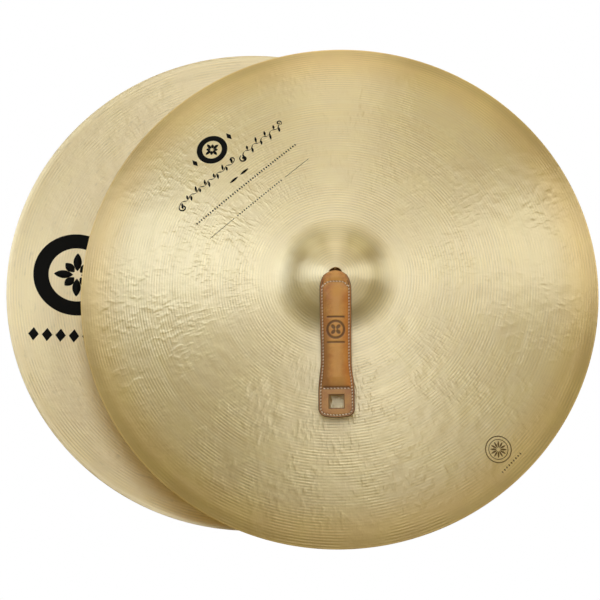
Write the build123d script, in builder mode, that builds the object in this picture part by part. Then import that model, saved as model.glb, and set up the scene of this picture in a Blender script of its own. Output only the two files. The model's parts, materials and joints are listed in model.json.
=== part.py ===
from build123d import *

import os
from math import cos, pi, radians, sin, sqrt, tan

# A pair of orchestral hand cymbals, held apart just before a crash.
#
# Each unit is a bronze disc with a domed bell and a shallow bow, and a padded leather handle strap.
# The strap's narrow neck goes through the centre hole, over a leather washer inside the bell, and
# its two layers are split into four tails that are woven into a flat crown knot.
#
# Row frame: +Z up, origin at the centre of the front cymbal's rim plane, its bell towards -Y.
# The rear cymbal faces it, hollow side to hollow side, a little to the left, higher, and toed open.
# Every piece is built on its unit's plane: X across the strap, Y up, Z outwards along the disc's
# axis.

# --- Driving dimensions, mm and degrees ---------------------------------------------------------

# Bronze disc
RIM_RADIUS = 266.7  # a 21 inch cymbal
RIM_THICKNESS = 0.9  # height of the disc's outer edge
RIM_LAND = 2.5  # width of the flat ring that touches the other cymbal
RIM_ROUNDING = 0.3
HUB_THICKNESS = 1.9  # the metal thins from the hub to the rim
OUTER_THICKNESS = 1.3
BOW_CREST_RADIUS = 45.0  # the bow is a shallow arc, swept round the axis, that is level here
BOW_RISE = 32.5  # height of the bow's crest over the rim plane
BELL_RADIUS = 52.0  # where the bell would meet the bow without its rounded foot
BELL_RISE = 17.9  # bell top over its own foot
BELL_FOOT_FILLET = 50.0
HOLE_RADIUS = 6.5
HOLE_ROUNDING = 0.4

# Leather strap
LEATHER = 1.8
NECK_WIDTH = 11.4
BEND_RADIUS = 4.6  # of the surface between the two layers, where the neck turns down
BEND_LIFT = 0.2  # the bend starts this far outside the bell's top
DROOP = 6.5  # degrees by which the hanging strap leans in towards the bow
STRAP_LENGTH = 143.0  # hole centre to the free end
APEX_ABOVE_HOLE = 3.0  # the pointed top's outline is half an ellipse
SHOULDER_DEPTH = 17.0
SHOULDER_HALF = 15.7
WAIST_HALF = 15.0
TAB_HALF = 17.8
FLARE_START = 86.0
FLARE_END = 120.0
TAB_CORNER = 8.0
TAB_BULGE = 1.0  # the free end is slightly rounded
EYE_WIDTH = 14.4
EYE_HEIGHT = 13.0
EYE_DEPTH = 127.4  # of the eye's centre
EYE_CORNER = 0.8
SPLIT_GAP = 0.4  # room between neck and handle, so that they can swing apart
STEM_GAP = 0.1  # air between the stem's cut end and the tails
WELD = 0.01  # overlap that joins the stem to the bend

# Padding and seams
SEAM_INSET = 2.4
PAD_INSET = 3.6
PAD_LIP = 0.3  # the pad's crown comes down this far outside its edge
PAD_HEIGHT = 4.2
PAD_TOP = 12.0
PAD_BOTTOM = 113.0
PAD_RAMP = 10.0  # length over which each end of the pad rises
PAD_RAMP_SHARE = 0.86  # of the full height, reached at the ramp's end
PAD_FOOTING = 1.0  # the crown's cross-section goes on this far below the strap's plane
TOP_SEAM_DEPTH = 9.6
BOTTOM_SEAM_DEPTH = 114.8
STITCH_PITCH = 3.0
SEAM_END_GAP = 1.8  # between a cross seam's last stitch and the edge seam
STITCH_LENGTH = 2.0
STITCH_RADIUS = 0.4
STITCH_PROUD = 0.03  # air under each stitch

# Fixing inside the bell
WASHER_RADIUS = 18.0
WASHER_THICKNESS = 2.4
WASHER_BORE = 6.9
SEAT_GAP = 0.1
TAIL_WIDTH = 6.0
TAIL_GAP = 1.2  # half the gap between two parallel tails, where a tail climbs over its neighbour
TAIL_REACH = 17.0
WEAVE_GAP = 0.4
CROSSING_MARGIN = 1.0  # a tail stays high this far past its neighbour's edges
DESCENT_RUN = 2.3  # length of a tail's slope back down

# Where the rear unit stands
REAR_ORIGIN = (-91.0, 57.0, 23.0)
REAR_YAW = 4.5

# --- Worked out from them -----------------------------------------------------------------------

BOW_RUN = RIM_RADIUS - BOW_CREST_RADIUS
BOW_FALL = BOW_RISE - RIM_THICKNESS
BOW_ARC = (BOW_RUN**2 + BOW_FALL**2) / (2 * BOW_FALL)
BELL_ARC = (BELL_RADIUS**2 + BELL_RISE**2) / (2 * BELL_RISE)


def bow_height(radius):
    """Height of the bow's outer surface."""
    return BOW_RISE - BOW_ARC + sqrt(BOW_ARC**2 - (radius - BOW_CREST_RADIUS) ** 2)


BELL_TOP = bow_height(BELL_RADIUS) + BELL_RISE


def bell_height(radius):
    """Height of the bell's outer surface."""
    return BELL_TOP - BELL_ARC + sqrt(BELL_ARC**2 - radius**2)


def thickness(radius):
    """Thickness of the metal, measured along the axis."""
    return HUB_THICKNESS + (OUTER_THICKNESS - HUB_THICKNESS) * radius / RIM_RADIUS


def half_width(depth):
    """Half the strap's width, at a depth below the hole's centre."""
    if depth < SHOULDER_DEPTH:
        share = (SHOULDER_DEPTH - depth) / (SHOULDER_DEPTH + APEX_ABOVE_HOLE)
        return SHOULDER_HALF * sqrt(1 - share**2)
    if depth < FLARE_START:
        share = (depth - SHOULDER_DEPTH) / (FLARE_START - SHOULDER_DEPTH)
        return WAIST_HALF + (SHOULDER_HALF - WAIST_HALF) * (1 + cos(pi * share)) / 2
    share = min(1.0, (depth - FLARE_START) / (FLARE_END - FLARE_START))
    return TAB_HALF + (WAIST_HALF - TAB_HALF) * (1 + cos(pi * share)) / 2


TURN = 90.0 + DROOP
BEND_START = BELL_TOP + BEND_LIFT
BEND_TANGENT = BEND_RADIUS * tan(radians(TURN / 2))
PIVOT_HEIGHT = BEND_START + BEND_TANGENT  # where the hanging strap's plane crosses the axis
KNOT_HEIGHT = (
    bell_height(WASHER_RADIUS) - thickness(WASHER_RADIUS) - SEAT_GAP - WASHER_THICKNESS
)  # of the plane that the tails lie under
CUTTER_REACH = 60.0  # more than any piece stands out from the strap's plane
SHEET_LENGTH = 180.0  # more than the strap's length
TOLERANCE = 0.01  # for finding corners by their radius


# --- Planes -------------------------------------------------------------------------------------

FRONT = Plane(origin=(0, 0, 0), x_dir=(1, 0, 0), z_dir=(0, -1, 0))
REAR = Plane(
    origin=REAR_ORIGIN,
    x_dir=(-cos(radians(REAR_YAW)), -sin(radians(REAR_YAW)), 0),
    z_dir=(-sin(radians(REAR_YAW)), cos(radians(REAR_YAW)), 0),
)


def profile_plane(unit):
    """Holds the disc's profile: X outwards from the axis, Y along the axis."""
    return Plane(origin=unit.origin, x_dir=unit.x_dir, z_dir=-unit.y_dir)


def side_plane(unit):
    """Holds the strap seen from its side: X along the axis, Y up."""
    return Plane(origin=unit.origin, x_dir=unit.z_dir, z_dir=-unit.x_dir)


def strap_plane(unit):
    """Lies between the hanging strap's two layers: X across, Y up the strap, Z outwards."""
    lean = radians(DROOP)
    normal = unit.z_dir * cos(lean) - unit.y_dir * sin(lean)
    return Plane(origin=unit.origin + unit.z_dir * PIVOT_HEIGHT, x_dir=unit.x_dir, z_dir=normal)


# --- The disc -----------------------------------------------------------------------------------


def make_disc(unit):
    """The bronze disc: one revolved profile of bow, bell and centre hole."""
    land_radius = RIM_RADIUS - RIM_LAND
    middle = (RIM_RADIUS + BELL_RADIUS) / 2
    bell_middle = (BELL_RADIUS + HOLE_RADIUS) / 2

    def under(radius, height):
        return (radius, height - thickness(radius))

    with BuildPart() as disc:
        with BuildSketch(profile_plane(unit)):
            with BuildLine():
                rim = Polyline((land_radius, 0), (RIM_RADIUS, 0), (RIM_RADIUS, RIM_THICKNESS))
                bow = ThreePointArc(
                    rim @ 1, (middle, bow_height(middle)), (BELL_RADIUS, bow_height(BELL_RADIUS))
                )
                bell = ThreePointArc(
                    bow @ 1,
                    (bell_middle, bell_height(bell_middle)),
                    (HOLE_RADIUS, bell_height(HOLE_RADIUS)),
                )
                hole = Line(bell @ 1, under(HOLE_RADIUS, bell_height(HOLE_RADIUS)))
                inner_bell = ThreePointArc(
                    hole @ 1,
                    under(bell_middle, bell_height(bell_middle)),
                    under(BELL_RADIUS, bow_height(BELL_RADIUS)),
                )
                ThreePointArc(inner_bell @ 1, under(middle, bow_height(middle)), rim @ 0)
            make_face()
            fillet(vertices().filter_by(at_radius(unit, BELL_RADIUS)), BELL_FOOT_FILLET)
            fillet(vertices().filter_by(at_radius(unit, RIM_RADIUS)), RIM_ROUNDING)
            fillet(vertices().filter_by(at_radius(unit, HOLE_RADIUS)), HOLE_ROUNDING)
        revolve(axis=Axis(unit.origin, unit.z_dir))
    return disc.part


def at_radius(unit, radius):
    """A test for profile corners at a distance from the disc's axis."""

    def test(vertex):
        from_centre = Vector(vertex) - unit.origin
        return abs(abs(from_centre.dot(unit.x_dir)) - radius) < TOLERANCE

    return test


# --- The strap ----------------------------------------------------------------------------------


def strap_outline(inset=0.0, top=-APEX_ABOVE_HOLE, bottom=STRAP_LENGTH):
    """The strap's front outline as a sketch, drawn in by an inset and cut at two depths."""
    spans = 6
    step = (FLARE_END - SHOULDER_DEPTH) / spans
    depths = [SHOULDER_DEPTH + step * i for i in range(spans + 1)]
    side = TAB_HALF - inset
    radius = TAB_CORNER - inset
    end = STRAP_LENGTH - inset
    with BuildSketch() as outline:
        with BuildLine():
            EllipticalCenterArc(
                (0, -SHOULDER_DEPTH),
                SHOULDER_HALF - inset,
                SHOULDER_DEPTH + APEX_ABOVE_HOLE - inset,
                start_angle=0,
                arc_size=90,
            )
            Spline([(half_width(d) - inset, -d) for d in depths], tangents=[(0, -1), (0, -1)])
            tab = Line((side, -FLARE_END), (side, radius + TAB_BULGE - end))
            corner = RadiusArc(tab @ 1, (side - radius, TAB_BULGE - end), radius)
            ThreePointArc(corner @ 1, (0, -end), (radius - side, TAB_BULGE - end))
            mirror(about=Plane.YZ)
        make_face()
        with Locations((0, -(top + bottom) / 2)):
            Rectangle(4 * TAB_HALF, bottom - top, mode=Mode.INTERSECT)
    return outline.sketch


def outline_prism(unit, inset=0.0):
    """The strap's outline carried outwards from the rim plane, to trim its layers with."""
    with BuildPart() as prism:
        with BuildSketch(unit):
            add(strap_outline(inset))
        extrude(amount=2 * CUTTER_REACH)
    return prism.part


def make_neck(unit):
    """Both leather layers from inside the bell, through the hole and round the bend."""
    stem_end = KNOT_HEIGHT + STEM_GAP
    turn = radians(TURN)
    layers = []
    for inner, outer in ((-LEATHER, 0.0), (0.0, LEATHER)):
        with BuildPart() as layer:
            with BuildSketch(side_plane(unit)):
                with BuildLine():
                    centre = Vector(BEND_START, -BEND_RADIUS)
                    low, high = BEND_RADIUS + inner, BEND_RADIUS + outer
                    Line((BEND_START, outer), (BEND_START, inner))
                    inside_bend = CenterArc(centre, low, 90, -TURN)
                    tip = centre + Vector(sin(turn), cos(turn)) * high
                    Line(inside_bend @ 1, tip)
                    CenterArc(centre, high, 90, -TURN)
                make_face()
            extrude(amount=CUTTER_REACH, both=True)
            add(outline_prism(unit), mode=Mode.INTERSECT)
            with BuildSketch(unit.offset(stem_end)):
                with Locations((0, (inner + outer) / 2)):
                    Rectangle(NECK_WIDTH, outer - inner)
            extrude(amount=BEND_START + WELD - stem_end)
        layers.append(layer.part)
    return Compound(children=layers)


def layer_block(unit, low, high):
    """A flat sheet of the handle's full outline, between two heights over the strap's plane."""
    flat = strap_plane(unit)
    top = BEND_TANGENT + SPLIT_GAP
    with BuildPart() as block:
        with BuildSketch(flat.offset(low)):
            with Locations((0, -(top + SHEET_LENGTH) / 2)):
                Rectangle(4 * TAB_HALF, SHEET_LENGTH - top)
        extrude(amount=high - low)
        add(outline_prism(unit), mode=Mode.INTERSECT)
    return block.part


def cushion(unit, grow):
    """The pad's crowned shape, grown outwards by a leather thickness or not at all."""
    flat = strap_plane(unit)
    half = SHOULDER_HALF - PAD_INSET + PAD_LIP + grow
    height = PAD_HEIGHT + grow
    top, bottom = PAD_TOP - grow, PAD_BOTTOM + grow
    with BuildPart() as body:
        with BuildSketch(Plane(origin=flat.origin, x_dir=flat.x_dir, z_dir=-flat.y_dir)):
            with BuildLine():
                base = Polyline(
                    (-half, 0), (-half, -PAD_FOOTING), (half, -PAD_FOOTING), (half, 0)
                )
                ThreePointArc(base @ 0, (0, height), base @ 1)
            make_face()
        extrude(amount=bottom)
        with BuildSketch(Plane(origin=flat.origin, x_dir=flat.y_dir, z_dir=flat.x_dir)):
            with BuildLine():
                Spline(
                    (-bottom, 0),
                    (-bottom + PAD_RAMP, height * PAD_RAMP_SHARE),
                    (-(top + bottom) / 2, height),
                    (-top - PAD_RAMP, height * PAD_RAMP_SHARE),
                    (-top, 0),
                )
                Line((-top, 0), (-bottom, 0))
            make_face()
        extrude(amount=CUTTER_REACH, both=True, mode=Mode.INTERSECT)
        add(outline_prism(unit, PAD_INSET - grow), mode=Mode.INTERSECT)
    return body.part


def make_eye(unit):
    """The square eye's prism through the strap's tab."""
    with BuildPart() as prism:
        with BuildSketch(unit):
            with Locations((0, -EYE_DEPTH)):
                RectangleRounded(EYE_WIDTH, EYE_HEIGHT, EYE_CORNER)
        extrude(amount=2 * CUTTER_REACH)
    return prism.part


def make_lining(unit):
    """The under layer, flat, against the hand's thumb."""
    with BuildPart() as lining:
        add(layer_block(unit, -LEATHER, 0))
        add(make_eye(unit), mode=Mode.SUBTRACT)
    return lining.part


def make_pad(unit):
    """The felt filling between the layers."""
    return cushion(unit, 0)


def make_cover(unit):
    """The upper layer, domed over the pad."""
    with BuildPart() as cover:
        add(layer_block(unit, 0, LEATHER))
        add(cushion(unit, LEATHER))
        add(make_pad(unit), mode=Mode.SUBTRACT)
        add(make_eye(unit), mode=Mode.SUBTRACT)
    return cover.part


# --- Seams --------------------------------------------------------------------------------------


def edge_seam():
    """Points and directions of the stitches that follow the strap's edge."""
    inside = strap_outline(SEAM_INSET, TOP_SEAM_DEPTH)
    border = inside.face().outer_wire()
    count = int(border.length / STITCH_PITCH)
    return [(border @ (i / count), border % (i / count)) for i in range(count)]


def cross_seam():
    """Points and directions of the straight seam between the pad and the tab."""
    reach = half_width(BOTTOM_SEAM_DEPTH) - SEAM_INSET - SEAM_END_GAP
    count = int(2 * reach / STITCH_PITCH)
    step = 2 * reach / count
    across = Vector(1, 0)
    return [(Vector(-reach + step * i, -BOTTOM_SEAM_DEPTH), across) for i in range(count + 1)]


def make_stitches(unit, seam):
    """Short waxed stitches on both faces of the strap, one row above and one below."""
    flat = strap_plane(unit)
    lift = LEATHER + STITCH_RADIUS + STITCH_PROUD
    with BuildPart() as stitches:
        for side in (lift, -lift):
            for point, along in seam:
                stitch = Plane(
                    origin=flat.from_local_coords((point.X, point.Y / cos(radians(DROOP)), side)),
                    z_dir=flat.x_dir * along.X + flat.y_dir * along.Y,
                )
                with BuildSketch(stitch.offset(-STITCH_LENGTH / 2)):
                    Circle(STITCH_RADIUS)
        extrude(amount=STITCH_LENGTH)
    return stitches.part


# --- Fixing inside the bell ---------------------------------------------------------------------


def make_washer(unit):
    """A leather washer, pressed to the curve of the bell's inside."""
    middle = (WASHER_RADIUS + WASHER_BORE) / 2

    def seat(radius, down):
        return (radius, bell_height(radius) - thickness(radius) - SEAT_GAP - down)

    with BuildPart() as washer:
        with BuildSketch(profile_plane(unit)):
            with BuildLine():
                top = ThreePointArc(seat(WASHER_BORE, 0), seat(middle, 0), seat(WASHER_RADIUS, 0))
                under = ThreePointArc(
                    seat(WASHER_RADIUS, WASHER_THICKNESS),
                    seat(middle, WASHER_THICKNESS),
                    seat(WASHER_BORE, WASHER_THICKNESS),
                )
                Line(top @ 1, under @ 0)
                Line(under @ 1, top @ 0)
            make_face()
        revolve(axis=Axis(unit.origin, unit.z_dir))
    return washer.part


def make_knot(unit):
    """Four leather tails in a crown knot: each climbs over one neighbour and under the other."""
    low = WEAVE_GAP / 2
    high = low + LEATHER + WEAVE_GAP
    edge = TAIL_GAP + TAIL_WIDTH + CROSSING_MARGIN
    drop = edge + DESCENT_RUN
    path = [
        (edge, low),
        (TAIL_GAP, low),
        (-TAIL_GAP, high),
        (-edge, high),
        (-drop, low),
        (-TAIL_REACH, low),
    ]
    knot = unit.offset(KNOT_HEIGHT)
    tails = []
    for quarter in range(4):
        angle = radians(90 * quarter)
        along = knot.x_dir * cos(angle) + knot.y_dir * sin(angle)
        across = knot.y_dir * cos(angle) - knot.x_dir * sin(angle)
        strip = Plane(origin=knot.origin + across * TAIL_GAP, x_dir=along, z_dir=-across)
        with BuildPart() as tail:
            with BuildSketch(strip):
                with BuildLine():
                    far = [(a, -w - LEATHER) for a, w in reversed(path)]
                    Polyline([(a, -w) for a, w in path] + far, close=True)
                make_face()
            extrude(amount=-TAIL_WIDTH)
        tails.append(tail.part)
    return Compound(children=tails)


# --- Both units ---------------------------------------------------------------------------------

MAKERS = {
    "cymbal": make_disc,
    "strap_cover": make_cover,
    "strap_pad": make_pad,
    "strap_lining": make_lining,
    "strap_edge_stitches": lambda unit: make_stitches(unit, edge_seam()),
    "strap_cross_stitches": lambda unit: make_stitches(unit, cross_seam()),
    "strap_neck": make_neck,
    "knot_washer": make_washer,
    "knot_tails": make_knot,
}

os.makedirs("parts", exist_ok=True)
for side, unit in (("front", FRONT), ("rear", REAR)):
    for piece, make in MAKERS.items():
        part = make(unit)
        part.label = f"{side}_{piece}"
        export_step(part, f"parts/{part.label}.step")
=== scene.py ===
"""Looks for a pair of orchestral hand cymbals with padded leather straps.

Every piece is built in its unit's own axes, in millimetres (X across the strap, Y up, Z outwards
along the disc's axis), and is then put in the row frame. Its own-axes coordinates stay on the mesh as
the attribute "own", which the materials read, so that their patterns follow each piece as it moves.
"""

import json
import math

import bpy
import numpy as np
from mathutils import Matrix, Vector


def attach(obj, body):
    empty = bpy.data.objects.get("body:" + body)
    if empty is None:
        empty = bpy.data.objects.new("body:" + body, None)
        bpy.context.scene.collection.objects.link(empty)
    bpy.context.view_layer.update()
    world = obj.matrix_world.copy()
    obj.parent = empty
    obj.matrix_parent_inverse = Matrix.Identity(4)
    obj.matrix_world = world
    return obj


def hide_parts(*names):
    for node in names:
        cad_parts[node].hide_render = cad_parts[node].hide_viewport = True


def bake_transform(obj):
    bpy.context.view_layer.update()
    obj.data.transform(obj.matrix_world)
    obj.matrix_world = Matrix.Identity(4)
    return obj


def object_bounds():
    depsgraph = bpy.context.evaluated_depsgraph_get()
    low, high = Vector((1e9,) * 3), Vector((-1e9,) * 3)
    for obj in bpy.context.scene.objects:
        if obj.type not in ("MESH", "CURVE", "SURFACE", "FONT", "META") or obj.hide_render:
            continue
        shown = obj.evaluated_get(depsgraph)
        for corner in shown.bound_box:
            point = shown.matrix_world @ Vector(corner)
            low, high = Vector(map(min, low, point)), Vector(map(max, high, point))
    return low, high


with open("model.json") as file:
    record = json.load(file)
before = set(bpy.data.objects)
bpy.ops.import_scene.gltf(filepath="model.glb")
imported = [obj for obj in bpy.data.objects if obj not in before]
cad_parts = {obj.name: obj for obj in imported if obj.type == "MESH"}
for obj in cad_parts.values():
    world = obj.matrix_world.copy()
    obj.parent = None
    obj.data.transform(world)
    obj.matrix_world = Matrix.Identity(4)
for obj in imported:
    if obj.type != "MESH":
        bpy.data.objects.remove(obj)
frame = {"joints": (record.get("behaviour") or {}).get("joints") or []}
cad_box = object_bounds()

# --- Sizes, in millimetres and degrees, as the CAD part has them ------------------------------

RIM_RADIUS = 266.7
RIM_THICKNESS = 0.9
RIM_LAND = 2.5
RIM_ROUNDING = 0.3
HUB_THICKNESS = 1.9
OUTER_THICKNESS = 1.3
BOW_CREST_RADIUS = 45.0
BOW_RISE = 32.5
BELL_RADIUS = 52.0
BELL_RISE = 17.9
BELL_FOOT_FILLET = 50.0
HOLE_RADIUS = 6.5
HOLE_ROUNDING = 0.4

LEATHER = 1.8
NECK_WIDTH = 11.4
BEND_RADIUS = 4.6
BEND_LIFT = 0.2
DROOP = 6.5
STRAP_LENGTH = 143.0
APEX_ABOVE_HOLE = 3.0
SHOULDER_DEPTH = 17.0
SHOULDER_HALF = 15.7
WAIST_HALF = 15.0
TAB_HALF = 17.8
TAB_CORNER = 8.0
TAB_BULGE = 1.0
FLARE_START = 86.0
FLARE_END = 120.0
EYE_WIDTH = 14.4
EYE_HEIGHT = 13.0
EYE_DEPTH = 127.4
SEAM_INSET = 2.4
PAD_INSET = 3.6
PAD_HEIGHT = 4.2
PAD_TOP = 12.0
PAD_BOTTOM = 113.0
TOP_SEAM_DEPTH = 9.6
TOP_SEAM_DIP = 3.2  # how much lower its ends are
BOTTOM_SEAM_DEPTH = 114.8
STITCH_PITCH = 3.0
CORNER_START = STRAP_LENGTH - TAB_BULGE - TAB_CORNER  # the depth at which the tab's corners begin
CORNER_SIDE = TAB_HALF - TAB_CORNER  # how far the corners' centres are from the middle line

WASHER_RADIUS = 18.0
WASHER_THICKNESS = 2.4
WASHER_BORE = 6.9
SEAT_GAP = 0.1
TAIL_WIDTH = 6.0
TAIL_GAP = 1.2
TAIL_REACH = 17.0
WEAVE_GAP = 0.4

MM = 0.001
SIDES = ("front", "rear")


# --- Small maths --------------------------------------------------------------------------------


def smooth(low, high, value):
    """0 below low, 1 above high, and an S curve between them."""
    t = np.clip((np.asarray(value, float) - low) / (high - low), 0, 1)
    return t * t * (3 - 2 * t)


def ridge(distance, width):
    """1 on a line and falling smoothly to 0 about one width away from it."""
    return np.exp(-((np.asarray(distance, float) / width) ** 2))


def round_angles(count):
    """So many angles at an even pitch round a circle, from 0."""
    return np.arange(count) * 2 * math.pi / count


def spread(stops, step):
    """Numbers from the first stop to the last, through every stop, at most one step apart."""
    parts = []
    for low, high in zip(stops[:-1], stops[1:]):
        count = max(1, math.ceil((high - low) / step))
        parts.append(np.linspace(low, high, count, endpoint=False))
    return np.append(np.concatenate(parts), stops[-1])


# --- The disc's shape ---------------------------------------------------------------------------

BOW_RUN = RIM_RADIUS - BOW_CREST_RADIUS
BOW_FALL = BOW_RISE - RIM_THICKNESS
BOW_ARC = (BOW_RUN**2 + BOW_FALL**2) / (2 * BOW_FALL)
BELL_ARC = (BELL_RADIUS**2 + BELL_RISE**2) / (2 * BELL_RISE)
BOW_CENTRE = np.array([BOW_CREST_RADIUS, BOW_RISE - BOW_ARC])


def bow_height(radius):
    return BOW_CENTRE[1] + np.sqrt(BOW_ARC**2 - (radius - BOW_CREST_RADIUS) ** 2)


BELL_TOP = float(bow_height(BELL_RADIUS)) + BELL_RISE
BELL_CENTRE = np.array([0.0, BELL_TOP - BELL_ARC])


def foot_circle():
    """Centre of the circle that rounds the bell's foot, touching both the bow's and the bell's arcs."""
    near, far = BELL_ARC + BELL_FOOT_FILLET, BOW_ARC + BELL_FOOT_FILLET
    between = BOW_CENTRE - BELL_CENTRE
    apart = np.linalg.norm(between)
    along = (apart**2 + near**2 - far**2) / (2 * apart)
    aside = math.sqrt(near**2 - along**2)
    direction = between / apart
    return BELL_CENTRE + direction * along + np.array([-direction[1], direction[0]]) * aside


FOOT_CENTRE = foot_circle()
FOOT_ON_BELL = (BELL_CENTRE + (FOOT_CENTRE - BELL_CENTRE) * BELL_ARC / (BELL_ARC + BELL_FOOT_FILLET))[0]
FOOT_ON_BOW = (BOW_CENTRE + (FOOT_CENTRE - BOW_CENTRE) * BOW_ARC / (BOW_ARC + BELL_FOOT_FILLET))[0]


def outer_height(radius):
    """Height of the disc's outer surface over its rim plane."""
    radius = np.asarray(radius, float)
    bell = BELL_CENTRE[1] + np.sqrt(np.maximum(BELL_ARC**2 - radius**2, 0))
    foot = FOOT_CENTRE[1] - np.sqrt(
        np.maximum(BELL_FOOT_FILLET**2 - (radius - FOOT_CENTRE[0]) ** 2, 0)
    )
    height = np.where(radius < FOOT_ON_BELL, bell, foot)
    return np.where(radius > FOOT_ON_BOW, bow_height(radius), height)


def inner_height(radius):
    """Height of the hollow side, which comes down to the flat land just inside the rim."""
    land = RIM_RADIUS - RIM_LAND
    metal = HUB_THICKNESS + (OUTER_THICKNESS - HUB_THICKNESS) * np.asarray(radius) / RIM_RADIUS
    height = outer_height(radius) - metal
    at_land = outer_height(land) - OUTER_THICKNESS
    return height - at_land * smooth(land - 20, land, radius)


HAMMER_RINGS = 11.0  # from one ring of marks to the next
HAMMER_PITCH = 13.0  # between the marks of a ring
HAMMER_RADII = (5.5, 11.0)  # of the smallest and the largest mark
HAMMER_DEPTH = 0.16  # at most, of a mark with a radius of 8


def make_hammering(seed):
    """Shallow hammer marks over the bow, ring by ring: positions, radii and depths."""
    rng = np.random.default_rng(seed)
    marks = []
    ring = BELL_RADIUS + 18
    while ring < RIM_RADIUS - 10:
        count = int(2 * math.pi * ring / HAMMER_PITCH)
        for angle in (np.arange(count) + rng.uniform(-0.4, 0.4, count)) * 2 * math.pi / count:
            at = ring + rng.normal(0, 3.5)
            size = rng.uniform(*HAMMER_RADII)
            depth = HAMMER_DEPTH * rng.random() ** 1.6 * size / 8
            marks.append((at * math.cos(angle), at * math.sin(angle), size, depth))
        ring += HAMMER_RINGS
    return np.array(marks)


HAMMERING = {"front": make_hammering(4), "rear": make_hammering(9)}


def hammered(side, x, y):
    """How far hammering has pushed the metal outwards (negative is inwards) at points of the disc."""
    x, y = np.asarray(x, float), np.asarray(y, float)
    push = np.zeros_like(x)
    for mark_x, mark_y, size, depth in HAMMERING[side]:
        near = (np.abs(x - mark_x) < size) & (np.abs(y - mark_y) < size)
        if near.any():
            share = ((x[near] - mark_x) ** 2 + (y[near] - mark_y) ** 2) / size**2
            push[near] -= depth * np.clip(1 - share, 0, 1) ** 2
    radius = np.hypot(x, y)
    angle = np.arctan2(y, x)
    wander = 0.10 * np.sin(3 * angle + radius / 31) + 0.07 * np.sin(7 * angle - radius / 17 + 1)
    fade = smooth(BELL_RADIUS + 6, BELL_RADIUS + 40, radius)
    return (push + wander) * fade * (1 - smooth(RIM_RADIUS - 14, RIM_RADIUS - 3, radius))


# --- Meshes -------------------------------------------------------------------------------------


def joint(name):
    return next(j for j in frame["joints"] if j["name"] == name)


def unit_matrix(side):
    """Takes a unit's own millimetres to the row frame."""
    swivel = joint(f"{side}_strap_swivel")
    out = Vector(swivel["axis"]).normalized()
    up = Vector((0, 0, 1))
    matrix = Matrix((up.cross(out), up, out)).transposed().to_4x4()
    matrix.translation = Vector(swivel["pos_m"])
    return matrix @ Matrix.Scale(MM, 4)


UNIT = {side: unit_matrix(side) for side in SIDES}


def grid_faces(rows, columns, wrap_rows=False, wrap_columns=False):
    """Four-sided faces over a grid of points stored row by row."""
    row = np.arange(rows if wrap_rows else rows - 1)
    column = np.arange(columns if wrap_columns else columns - 1)
    row, column = (a.ravel() for a in np.meshgrid(row, column, indexing="ij"))
    next_row, next_column = (row + 1) % rows, (column + 1) % columns
    corners = [(row, column), (row, next_column), (next_row, next_column), (next_row, column)]
    return np.stack([a * columns + b for a, b in corners], axis=1)


def between(top, bottom, closed=False):
    """Points and faces of a closed film between two grids. Closed joins its last column to its first."""
    rows, columns = top.shape[:2]
    count = rows * columns
    faces = [grid_faces(rows, columns, wrap_columns=closed)]
    faces.append(faces[0][:, ::-1] + count)
    ids = np.arange(count).reshape(rows, columns)
    if closed:
        borders = [np.append(ids[0], ids[0][0]), np.append(ids[-1], ids[-1][0])[::-1]]
    else:
        borders = [np.concatenate([ids[0], ids[1:, -1], ids[-1, -2::-1], ids[-2::-1, 0]])]
    for border in borders:
        start, end = border[:-1], border[1:]
        faces.append(np.stack([end, start, start + count, end + count], axis=1))
    return np.concatenate([top.reshape(-1, 3), bottom.reshape(-1, 3)]), np.concatenate(faces)


def facing_out(points, faces):
    """The faces, all turned round if they enclose a negative volume."""
    a, b, c, d = (points[faces[:, i]] for i in range(4))
    volume = np.einsum("ij,ij->", a, np.cross(b, c)) + np.einsum("ij,ij->", a, np.cross(c, d))
    return faces if volume > 0 else faces[:, ::-1]


def make_piece(name, side, points, faces, material, layers=None):
    """A mesh object in the row frame from own-axes points, with named float layers on its points."""
    faces = facing_out(points, faces)
    mesh = bpy.data.meshes.new(name)
    mesh.from_pydata(points.tolist(), [], faces.tolist())
    mesh.validate()
    own = mesh.attributes.new("own", "FLOAT_VECTOR", "POINT")
    own.data.foreach_set("vector", points.astype(np.float32).ravel())
    for layer, values in (layers or {}).items():
        attribute = mesh.attributes.new(layer, "FLOAT", "POINT")
        attribute.data.foreach_set("value", np.asarray(values, np.float32).ravel())
    mesh.transform(UNIT[side])
    mesh.shade_smooth()
    piece = bpy.data.objects.new(name, mesh)
    bpy.context.scene.collection.objects.link(piece)
    mesh.materials.append(material)
    return piece


class Parts:
    """Collects several closed grids into one piece."""

    def __init__(self):
        self.points, self.faces, self.count = [], [], 0

    def add(self, points, faces):
        faces = facing_out(points, faces)
        self.points.append(points)
        self.faces.append(faces + self.count)
        self.count += len(points)

    def piece(self, name, side, material, layers=None):
        points, faces = np.concatenate(self.points), np.concatenate(self.faces)
        return make_piece(name, side, points, faces, material, layers)


def settle(piece, side, slot, body, *nodes):
    """Puts a piece on the body that it rides on and hides the CAD nodes that it stands for; the slot
    argument is not used.
    """
    if nodes:
        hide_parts(*(f"{side}_{node}" for node in nodes))
    if body:
        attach(piece, f"{side}_{body}")


# --- Materials ----------------------------------------------------------------------------------


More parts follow.
